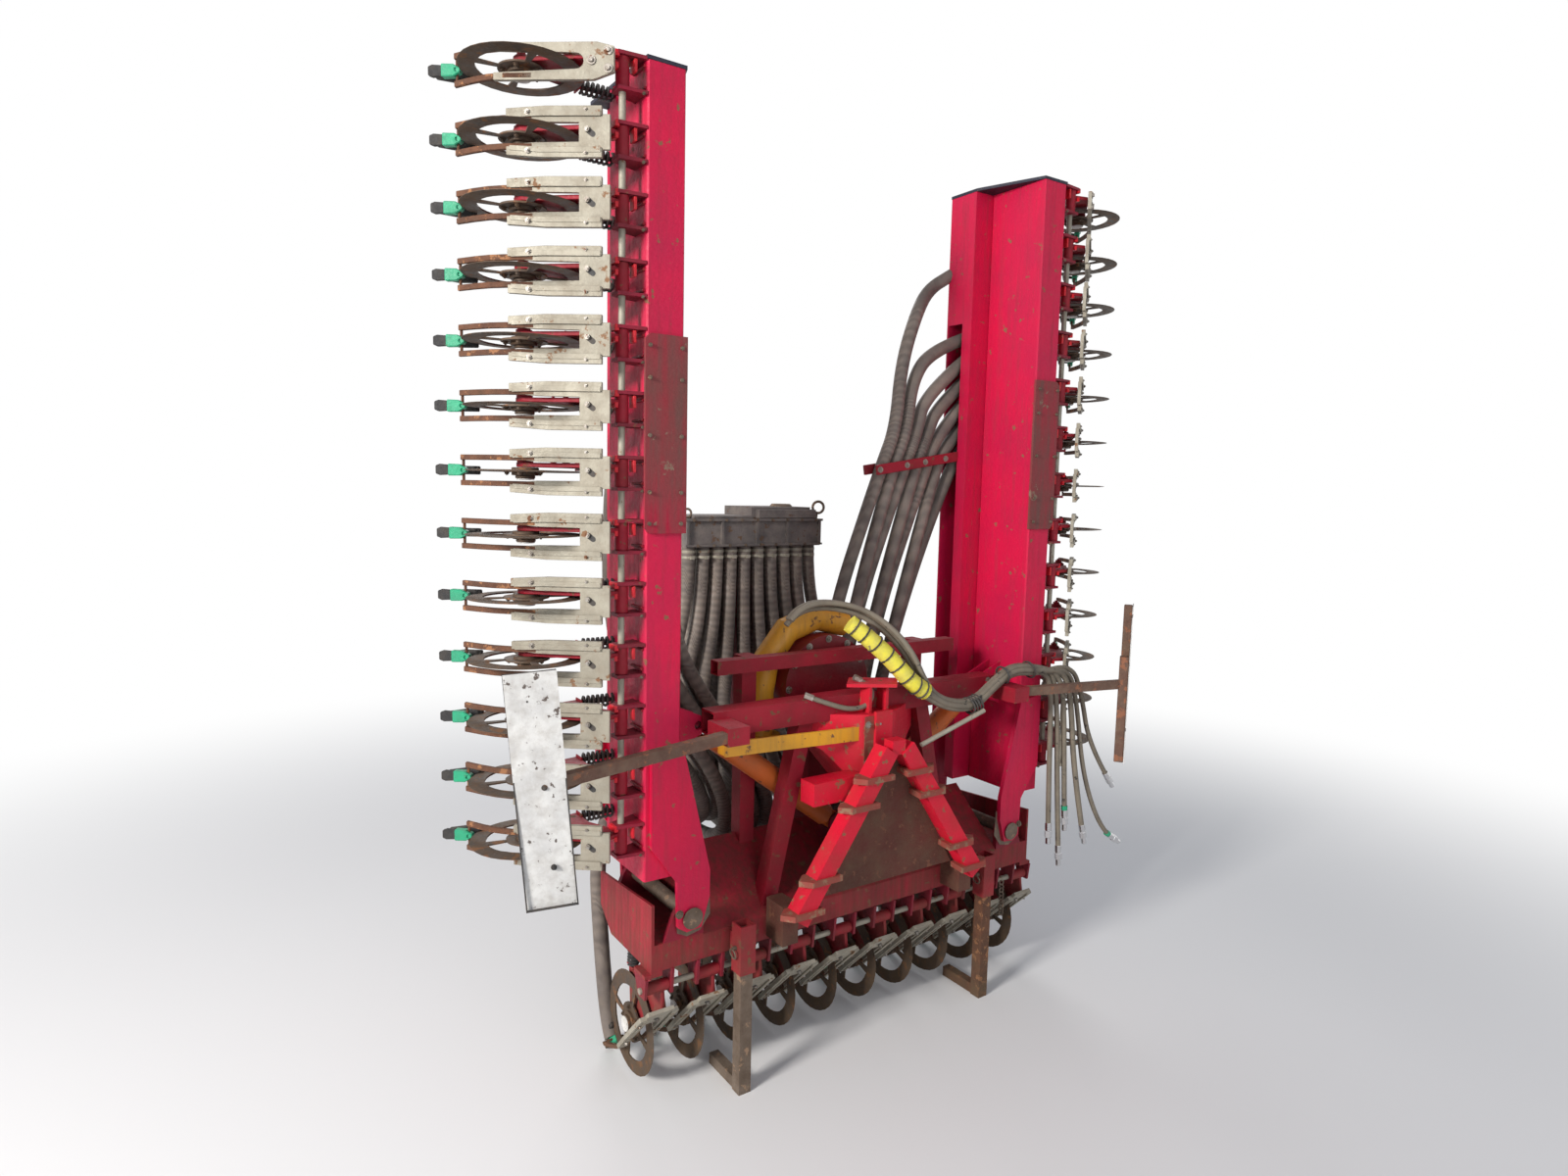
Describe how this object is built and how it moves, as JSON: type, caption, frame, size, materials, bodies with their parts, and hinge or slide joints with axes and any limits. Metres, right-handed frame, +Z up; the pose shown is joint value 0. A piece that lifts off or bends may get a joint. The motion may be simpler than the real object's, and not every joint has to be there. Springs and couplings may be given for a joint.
{
  "type": "folding slurry injector",
  "caption": "Farm implement with a centre frame and two upright folding wings carrying rows of disc coulters, fed by hoses from a distributor, on an A-frame hitch.",
  "frame": {"origin": "on the floor under the middle of the machine's bounding box", "axes": "+Z up, X across the machine with the right wing at +X, the hitch faces -Y and the outlets trail towards +Y"},
  "size_m": [2.883, 1.3438, 3.2955],
  "materials": {
    "red_paint": "gloss red paint, dusty and chipped",
    "dark_red_paint": "dull dark red paint, dirty",
    "galvanised": "galvanised, dull",
    "disc_steel": "soil-worn steel with rust",
    "worn_steel": "rusty and muddy",
    "rubber": "matt black rubber, dusty",
    "maroon_paint": "gloss maroon paint",
    "yellow_paint": "faded yellow paint with dirt",
    "board_paint": "red and white stripes, scuffed",
    "rod_chrome": "hard chrome, oily",
    "black_paint": "black paint, dusty"
  },
  "bodies": {
    "frame": {"centre_beam": "red_paint", "pin_lugs": "red_paint", "pins": "galvanised", "frame_posts": "dark_red_paint", "centre_lugs": "red_paint", "centre_rods": "galvanised", "centre_arms": "dark_red_paint", "centre_springs": "black_paint", "centre_forks": "worn_steel", "centre_outlets": "rubber", "hitch_legs": "red_paint", "hitch_collars": "red_paint", "hitch_web": "dark_red_paint", "hitch_stub": "worn_steel", "head_block": "red_paint", "head_plates": "dark_red_paint", "cross_beam": "dark_red_paint", "rear_rail": "dark_red_paint", "stand_sleeves": "dark_red_paint", "drum": "maroon_paint", "slurry_pipe": "yellow_paint", "tie_bar": "yellow_paint", "brackets": "dark_red_paint", "marker_bars": "red_paint", "marker_boards": "board_paint", "distributor_box": "black_paint", "distributor_mast": "red_paint", "centre_hoses": "rubber", "hoses_right": "rubber", "hoses_left": "rubber"},
    "wing_right": {"right_beam": "red_paint", "right_doubler": "galvanised", "right_lugs": "red_paint", "right_rods": "galvanised", "right_arms": "dark_red_paint", "right_springs": "black_paint", "right_forks": "worn_steel", "right_outlets": "rubber"},
    "discs_right": {"right_discs": "disc_steel"},
    "barrel_right": {"barrel_right": "black_paint"},
    "piston_right": {"piston_right": "rod_chrome"},
    "stand_right": {"stand_right": "worn_steel"},
    "wing_left": {"left_beam": "red_paint", "left_doubler": "galvanised", "left_lugs": "red_paint", "left_rods": "galvanised", "left_arms": "dark_red_paint", "left_springs": "black_paint", "left_forks": "worn_steel", "left_outlets": "rubber"},
    "discs_left": {"left_discs": "disc_steel"},
    "barrel_left": {"barrel_left": "black_paint"},
    "piston_left": {"piston_left": "rod_chrome"},
    "stand_left": {"stand_left": "red_paint"},
    "discs_centre": {"centre_discs": "disc_steel"}
  },
  "joints": [
    {"name": "fold_right", "type": "hinge", "parent": "frame", "child": "wing_right", "pos_m": [0.75, -0.22, 0.65], "axis": [0, 1, 0], "range_deg": [0, 90], "deforming": ["hoses_right"]},
    {"name": "discs_right_spin", "type": "hinge", "parent": "wing_right", "child": "discs_right", "pos_m": [1.22, -0.245, 2.085], "axis": [0, 0, 1], "continuous": true},
    {"name": "barrel_right_swing", "type": "hinge", "parent": "frame", "child": "barrel_right", "pos_m": [0.06, -0.285, 0.8], "axis": [0, 1, 0], "range_deg": [0, 39.53]},
    {"name": "piston_right_slide", "type": "slide", "parent": "barrel_right", "child": "piston_right", "axis": [0.8, 0, 0.6], "range_m": [0, 0.5414]},
    {"name": "stand_right_slide", "type": "slide", "parent": "frame", "child": "stand_right", "axis": [0, 0, 1], "range_m": [0, 0.2]},
    {"name": "fold_left", "type": "hinge", "parent": "frame", "child": "wing_left", "pos_m": [-0.75, -0.22, 0.65], "axis": [0, -1, 0], "range_deg": [0, 90], "deforming": ["hoses_left"]},
    {"name": "discs_left_spin", "type": "hinge", "parent": "wing_left", "child": "discs_left", "pos_m": [-1.22, -0.245, 2.085], "axis": [0, 0, 1], "continuous": true},
    {"name": "barrel_left_swing", "type": "hinge", "parent": "frame", "child": "barrel_left", "pos_m": [-0.06, -0.285, 0.8], "axis": [0, -1, 0], "range_deg": [0, 39.53]},
    {"name": "piston_left_slide", "type": "slide", "parent": "barrel_left", "child": "piston_left", "axis": [-0.8, 0, 0.6], "range_m": [0, 0.5414]},
    {"name": "stand_left_slide", "type": "slide", "parent": "frame", "child": "stand_left", "axis": [0, 0, 1], "range_m": [0, 0.2]},
    {"name": "discs_centre_spin", "type": "hinge", "parent": "frame", "child": "discs_centre", "pos_m": [0, -0.21747, 0.20084], "axis": [1, 0, 0], "continuous": true}
  ],
  "couplings": [
    {"joint": "barrel_right_swing", "follows": "fold_right", "ratio": 0.4392},
    {"joint": "piston_right_slide", "follows": "fold_right", "m_per_rad": 0.34465},
    {"joint": "barrel_left_swing", "follows": "fold_left", "ratio": 0.4392},
    {"joint": "piston_left_slide", "follows": "fold_left", "m_per_rad": 0.34465}
  ]
}
